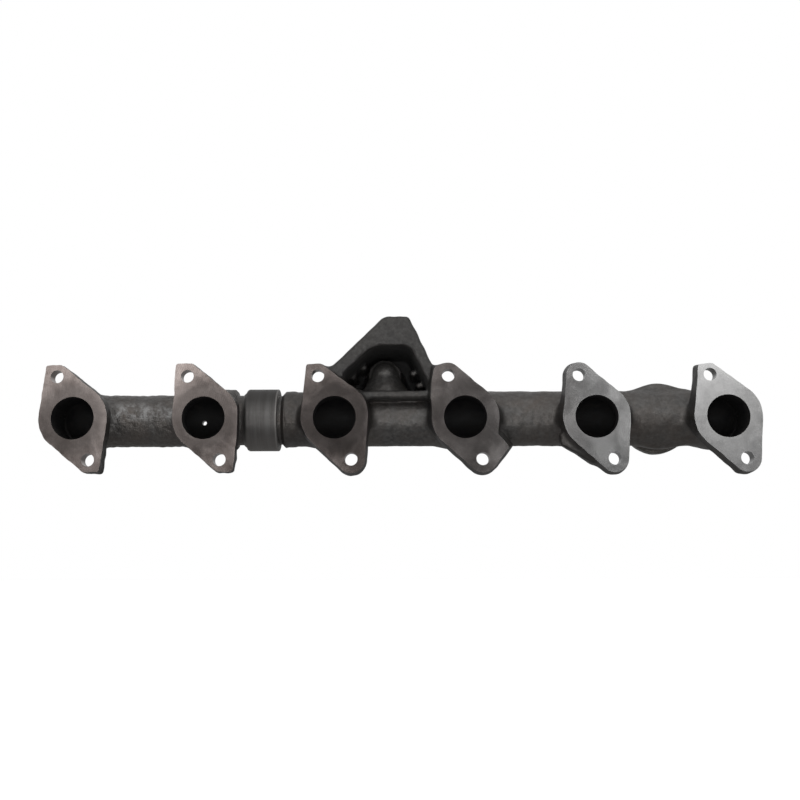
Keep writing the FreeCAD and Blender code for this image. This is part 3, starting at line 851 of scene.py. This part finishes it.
def cast_iron():
    """Sand-cast iron: fine grain, shallow pits and a little rust, with painted shade by the head and
    the joint and a painted highlight band along the front log.
    """
    material, nodes, shader, place = new_material("cast_iron")
    split = nodes.add("ShaderNodeSeparateXYZ", {"Vector": place})
    coarse = nodes.spread(split.outputs["X"], -0.16, -0.13, 1.0, 0.0)
    patches = nodes.noise(place, 45.0, 5.0, 0.65)
    lumps = nodes.noise(place, 230.0, 3.0, 0.6)
    grain = nodes.noise(place, 800.0, 2.0, 0.6)
    colour = nodes.mix(nodes.spread(patches, 0.34, 0.66), grey(0.080, 0.03), grey(0.105, 0.04))
    colour = nodes.mix(nodes.spread(lumps, 0.40, 0.70, 0.0, 0.7), colour, grey(0.165, 0.03))
    rust = nodes.noise(place, 21.0, 5.0, 0.65, 0.6)
    brown = nodes.spread(split.outputs["Z"], 0.045, 0.02, 0.1, 0.5)
    share = nodes.math("MULTIPLY", nodes.spread(rust, 0.40, 0.70), brown)
    colour = nodes.mix(share, colour, (0.118, 0.092, 0.075, 1.0))
    from_joint = nodes.math("ABSOLUTE", nodes.math("ADD", split.outputs["X"], -JOINT_AT * MM))
    # Painted highlight: a lighter grey, patchy band along the front casting's log, just above its
    # middle height and away from the joint.
    painted_highlight = nodes.spread(nodes.noise(place, 75.0, 4.0, 0.7), 0.46, 0.60, 0.0, 0.9)
    for reach in (coarse, nodes.spread(from_joint, 0.058, 0.070),
                  nodes.spread(split.outputs["Z"], -0.002, 0.004),
                  nodes.spread(split.outputs["Z"], 0.014, 0.022, 1.0, 0.0)):
        painted_highlight = nodes.math("MULTIPLY", painted_highlight, reach)
    colour = nodes.mix(painted_highlight, colour, grey(0.27, 0.01))
    # Painted shade: the iron is darkened towards the head face and near the sleeve joint.
    dark = nodes.math("MULTIPLY", nodes.spread(split.outputs["Y"], 0.014, 0.024, 0.48, 1.0),
                      nodes.spread(from_joint, 0.044, 0.060, 0.72, 1.0))
    colour = nodes.mix(dark, (0.012, 0.012, 0.012, 1.0), colour)
    nodes.feed(shader.inputs["Base Color"], colour)
    shader.inputs["Metallic"].default_value = 0.7
    shine = nodes.math("ADD", nodes.spread(patches, 0.3, 0.7, 0.31, 0.42),
                       nodes.spread(grain, 0.3, 0.7, 0.0, 0.1))
    shine = nodes.math("SUBTRACT", shine, nodes.math("MULTIPLY", coarse, 0.04))
    nodes.feed(shader.inputs["Roughness"], shine)
    pitted = nodes.noise(place, 120.0, 4.0, 0.7)
    rough = nodes.bump(pitted, nodes.math("MULTIPLY", coarse, 0.8), 0.0030)
    rough = nodes.bump(lumps, 0.5, 0.0010, rough)
    nodes.feed(shader.inputs["Normal"], nodes.bump(grain, 0.4, 0.0003, rough))
    return material


def pocket_shade_iron():
    """The deep recess: painted shade, near-black iron with a little grain."""
    material, nodes, shader, place = new_material("pocket_shade_iron")
    pocket_grain = nodes.noise(place, 140.0, 4.0, 0.6)
    colour = nodes.mix(nodes.spread(pocket_grain, 0.35, 0.7), grey(0.030, 0.02), grey(0.050, 0.02))
    nodes.feed(shader.inputs["Base Color"], colour)
    nodes.feed(shader.inputs["Roughness"], nodes.spread(pocket_grain, 0.3, 0.7, 0.6, 0.75))
    nodes.feed(shader.inputs["Normal"], nodes.bump(pocket_grain, 0.4, 0.0005))
    return material


def from_port(nodes, place):
    """How far a point of the flange faces lies from the middle of the nearest port, in metres."""
    pitch = (PORTS[2] - PORTS[1]) * MM
    split = nodes.add("ShaderNodeSeparateXYZ", {"Vector": place})
    row = nodes.math("FLOORED_MODULO", split.outputs["X"], pitch)
    across = nodes.math("SUBTRACT", row, pitch / 2)
    up = split.outputs["Z"]
    squares = nodes.math("ADD", nodes.math("MULTIPLY", across, across), nodes.math("MULTIPLY", up, up))
    return nodes.math("SQRT", squares)


def machined_iron():
    """Milled iron: cutter marks, a dark ring of heat stain round each port, browner at the front, with
    painted shade on the faces in the middle of the row.
    """
    material, nodes, shader, place = new_material("machined_iron")
    split = nodes.add("ShaderNodeSeparateXYZ", {"Vector": place})
    clean = nodes.spread(split.outputs["X"], -0.06, 0.20)
    cloud = nodes.noise(place, 30.0, 5.0, 0.62, 0.8)
    turned = nodes.add("ShaderNodeMapping", {"Vector": place, "Rotation": (0.0, 0.6, 0.0),
                                             "Scale": (1.0, 1.0, 0.05)}).outputs[0]
    scratches = nodes.noise(turned, 650.0, 3.0, 0.7)
    centre = nodes.add("ShaderNodeMapping", {"Vector": place, "Location": (0.06, 0.0, 0.02)}).outputs[0]
    arcs = nodes.add("ShaderNodeTexWave", {
        "Vector": centre, "Scale": 150.0, "Distortion": 4.0, "Detail": 2.0, "Detail Scale": 0.4,
    }, wave_type="RINGS", rings_direction="Y").outputs["Fac"]
    mottle = nodes.noise(place, 120.0, 4.0, 0.65)
    patchy = nodes.math("ADD", nodes.spread(cloud, 0.38, 0.62, 0.0, 0.65),
                        nodes.spread(mottle, 0.35, 0.65, 0.0, 0.35))
    stained = nodes.mix(patchy, (0.215, 0.176, 0.161, 1.0), (0.400, 0.345, 0.325, 1.0))
    bright = nodes.mix(patchy, grey(0.195, 0.005), grey(0.325, 0.005))
    colour = nodes.mix(clean, stained, bright)
    away = nodes.math("ADD", from_port(nodes, place), nodes.spread(cloud, 0.0, 1.0, -0.012, 0.012))
    ring = nodes.spread(away, 0.031, 0.050)
    worn = nodes.spread(clean, 0.0, 1.0, 0.62, 0.10)
    dulled = nodes.mix(worn, colour, (0.05, 0.045, 0.042, 1.0))
    colour = nodes.mix(ring, dulled, colour)
    # Painted shade: the milled faces near the middle of the row are darkened, most near the ports.
    middle = nodes.spread(nodes.math("ABSOLUTE", split.outputs["X"]), 0.10, 0.17, 0.42, 0.0)
    middle = nodes.math("MULTIPLY", middle, nodes.spread(ring, 0.0, 1.0, 1.0, 0.45))
    colour = nodes.mix(middle, colour, (0.035, 0.030, 0.029, 1.0))
    scored = nodes.math("MULTIPLY", nodes.spread(scratches, 0.35, 0.65),
                        nodes.spread(clean, 0.0, 1.0, 0.16, 0.05))
    colour = nodes.mix(scored, colour, grey(0.06))
    nodes.feed(shader.inputs["Base Color"], colour)
    shader.inputs["Metallic"].default_value = 0.9
    nodes.feed(shader.inputs["Roughness"], nodes.spread(cloud, 0.3, 0.7, 0.14, 0.23))
    marks = nodes.bump(arcs, nodes.spread(clean, 0.0, 0.7, 0.02, 0.0), 0.0002)
    nodes.feed(shader.inputs["Normal"], nodes.bump(scratches, 0.02, 0.0001, marks))
    return material


def turned_steel():
    """The sleeve: turning lines round it, rubbed bright at the ends, under a dull brown-grey oxide,
    with painted shade on top and painted light from the floor underneath.
    """
    material, nodes, shader, place = new_material("turned_sleeve")
    stretched = nodes.add("ShaderNodeMapping", {"Vector": place, "Scale": (1.0, 0.05, 0.05)}).outputs[0]
    lines = nodes.noise(stretched, 900.0, 4.0, 0.75)
    bands = nodes.noise(stretched, 160.0, 3.0, 0.7)
    patches = nodes.noise(place, 60.0, 4.0, 0.6)
    colour = nodes.mix(nodes.spread(patches, 0.3, 0.7), (0.080, 0.076, 0.073, 1.0),
                       (0.115, 0.110, 0.106, 1.0))
    colour = nodes.mix(nodes.spread(bands, 0.4, 0.62, 0.0, 0.6), colour, grey(0.155, 0.02))
    split = nodes.add("ShaderNodeSeparateXYZ", {"Vector": place})
    high = split.outputs["Z"]
    # Painted shade: darker towards the top of the sleeve.
    colour = nodes.mix(nodes.spread(high, 0.006, 0.022, 0.0, 0.55), colour, (0.022, 0.020, 0.019, 1.0))
    # Painted light from the floor: lighter towards the bottom of the sleeve.
    colour = nodes.mix(nodes.spread(high, -0.030, -0.012, 0.6, 0.0), colour, (0.26, 0.243, 0.232, 1.0))
    half = (SLEEVE_HIGH[0] - SLEEVE_LOW[0]) / 2
    from_middle = nodes.math("ABSOLUTE", nodes.math("ADD", split.outputs["X"], -JOINT_AT * MM))
    rubbed = nodes.spread(from_middle, (half - 2.2) * MM, (half - 1.2) * MM, 0.0, 0.7)
    colour = nodes.mix(rubbed, colour, (0.26, 0.25, 0.24, 1.0))
    nodes.feed(shader.inputs["Base Color"], colour)
    shader.inputs["Metallic"].default_value = 0.7
    nodes.feed(shader.inputs["Roughness"], nodes.spread(patches, 0.3, 0.7, 0.40, 0.54))
    nodes.feed(shader.inputs["Normal"], nodes.bump(lines, 0.5, 0.0004))
    return material


def gas_blackened():
    """The gas passages: dry soot over rough iron."""
    material, nodes, shader, place = new_material("soot")
    cake = nodes.noise(place, 120.0, 4.0, 0.6)
    colour = nodes.mix(nodes.spread(cake, 0.35, 0.7), (0.007, 0.007, 0.008, 1.0),
                       (0.018, 0.016, 0.015, 1.0))
    nodes.feed(shader.inputs["Base Color"], colour)
    nodes.feed(shader.inputs["Roughness"], nodes.spread(cake, 0.3, 0.7, 0.6, 0.8))
    nodes.feed(shader.inputs["Normal"], nodes.bump(cake, 0.5, 0.0006))
    return material


def ground_iron():
    """The seal rings: ground flat sides and a bright running face."""
    material, nodes, shader, place = new_material("ground_ring")
    lines = nodes.noise(place, 800.0, 2.0, 0.5)
    nodes.feed(shader.inputs["Base Color"], nodes.mix(lines, grey(0.24, 0.02), grey(0.36, 0.02)))
    shader.inputs["Metallic"].default_value = 0.9
    nodes.feed(shader.inputs["Roughness"], nodes.spread(lines, 0.3, 0.7, 0.25, 0.4))
    nodes.feed(shader.inputs["Normal"], nodes.bump(lines, 0.1, 0.0001))
    return material


# ---------------------------------------------------------------- floor, light and camera

FLOOR_HIGH = -0.36
CAMERA_PLACE = Vector((7.8, -1145.4, -144.2)) * MM
CAMERA_AIM = Vector((0.2, 0.0, 17.8)) * MM
CAMERA_ROLL = math.radians(-0.17)
LENS = 49.8
FLOOR_GLOW = 0.235
SKY_FRONT = 0.80
SKY_BACK = 0.33
SKY_TOP = 0.35
HORIZON = (0.05, 0.28)
FILL_PLACE = Vector((0.0, -1.1, -0.31))
FILL_SIZE = (0.8, 0.2)
FILL_POWER = 2.8
# Bearing and height of each glow's middle, its width and height (degrees), and its strength.
# The last one takes light away: the front of the studio is dimmer in the middle.
GLOWS = (
    ((15.2, 14.5), (2.5, 6.5), 7.0),
    ((-14.4, 16.0), (3.8, 5.5), 6.0),
    ((0.0, 3.0), (9.0, 8.0), -0.20),
)


def add_floor():
    wide = 9.0
    corners = [(-wide, -wide, FLOOR_HIGH), (wide, -wide, FLOOR_HIGH),
               (wide, wide, FLOOR_HIGH), (-wide, wide, FLOOR_HIGH)]
    data = bpy.data.meshes.new("floor")
    data.from_pydata(corners, [], [(0, 1, 2, 3)])
    floor = new_object("floor", data)
    material, nodes, shader, place = new_material("floor_paper")
    paper = nodes.noise(place, 3.0, 2.0)
    nodes.feed(shader.inputs["Base Color"], nodes.mix(paper, grey(0.90), grey(0.93)))
    shader.inputs["Roughness"].default_value = 0.9
    shader.inputs["Emission Color"].default_value = grey(1.0)
    shader.inputs["Emission Strength"].default_value = 0.6
    data.materials.append(material)
    floor.visible_diffuse = False
    floor.visible_glossy = False


def glow(nodes, turn, rise, at, size, strength):
    """A soft patch of light at a bearing (from the front, towards +X) and a height."""
    across = nodes.math("DIVIDE", nodes.math("SUBTRACT", turn, math.radians(at[0])),
                        math.radians(size[0]))
    up = nodes.math("DIVIDE", nodes.math("SUBTRACT", rise, math.sin(math.radians(at[1]))),
                    math.radians(size[1]))
    away = nodes.math("ADD", nodes.math("MULTIPLY", across, across), nodes.math("MULTIPLY", up, up))
    return nodes.math("MULTIPLY", nodes.math("EXPONENT", nodes.math("MULTIPLY", away, -1.0)), strength)


def add_world():
    """White behind the object, and a studio round it: pale below, bright above and in front."""
    world = bpy.data.worlds.new("studio")
    bpy.context.scene.world = world
    world.use_nodes = True
    nodes = Nodes(world.node_tree)
    way = nodes.add("ShaderNodeTexCoord").outputs["Generated"]
    split = nodes.add("ShaderNodeSeparateXYZ", {"Vector": way})
    rise = split.outputs["Z"]
    facing = nodes.math("MULTIPLY", split.outputs["Y"], -1.0)
    turn = nodes.math("ARCTAN2", split.outputs["X"], facing)
    front = nodes.spread(facing, -0.2, 0.7, SKY_BACK, SKY_FRONT)
    sky = nodes.math("ADD", front, nodes.spread(rise, 0.6, 1.0, 0.0, SKY_TOP - SKY_FRONT / 2))
    above = nodes.spread(rise, HORIZON[0], HORIZON[1])
    light = nodes.math("ADD", FLOOR_GLOW, nodes.math("MULTIPLY", above, sky))
    for at, size, strength in GLOWS:
        light = nodes.math("ADD", light, glow(nodes, turn, rise, at, size, strength))
    soft = nodes.add("ShaderNodeBackground", {"Color": grey(1.0), "Strength": light})
    plain = nodes.add("ShaderNodeBackground", {"Color": grey(1.0), "Strength": 1.0})
    seen = nodes.add("ShaderNodeLightPath").outputs["Is Camera Ray"]
    mixed = nodes.add("ShaderNodeMixShader", {0: seen, 1: soft.outputs[0], 2: plain.outputs[0]})
    nodes.add("ShaderNodeOutputWorld", {"Surface": mixed.outputs[0]})


def add_fill():
    """A weak panel low in front, which reaches up into the pocket and the ports."""
    data = bpy.data.lights.new("fill_panel", "AREA")
    data.shape = "RECTANGLE"
    data.size, data.size_y = FILL_SIZE
    data.energy = FILL_POWER
    panel = new_object("fill_panel", data)
    panel.location = FILL_PLACE
    panel.rotation_mode = "QUATERNION"
    panel.rotation_quaternion = (-FILL_PLACE).to_track_quat("-Z", "Y")


def add_camera():
    data = bpy.data.cameras.new("camera")
    data.lens = LENS
    data.sensor_width = 36.0
    data.clip_start = 0.05
    camera = new_object("camera", data)
    look = (CAMERA_AIM - CAMERA_PLACE).to_track_quat("-Z", "Y").to_matrix().to_4x4()
    camera.matrix_world = Matrix.Translation(CAMERA_PLACE) @ look @ Matrix.Rotation(CAMERA_ROLL, 4, "Z")
    bpy.context.scene.camera = camera


# ---------------------------------------------------------------- the scene

add_camera()
add_world()
add_fill()
add_floor()

finishes = (cast_iron(), machined_iron(), gas_blackened(), pocket_shade_iron())
front = make_front(finishes)
rear = make_rear(finishes)
sleeve = make_sleeve(turned_steel())
shade(front, 32)
shade(rear, 32)
shade(sleeve, 40)

for piece, body, node, slot in ((front, "front_casting", "front_section", "cast_iron"),
                                (rear, "rear_casting", "rear_section", "cast_iron"),
                                (sleeve, "sleeve", "slip_sleeve", "sleeve_steel")):
    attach(piece, body)
    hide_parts(node)

ring_finish = ground_iron()
for name in FRONT_RINGS + REAR_RINGS:
    ring = frame["nodes"][name]
    ring.data.materials.clear()
    ring.data.materials.append(ring_finish)

bpy.context.scene.view_settings.view_transform = "Standard"
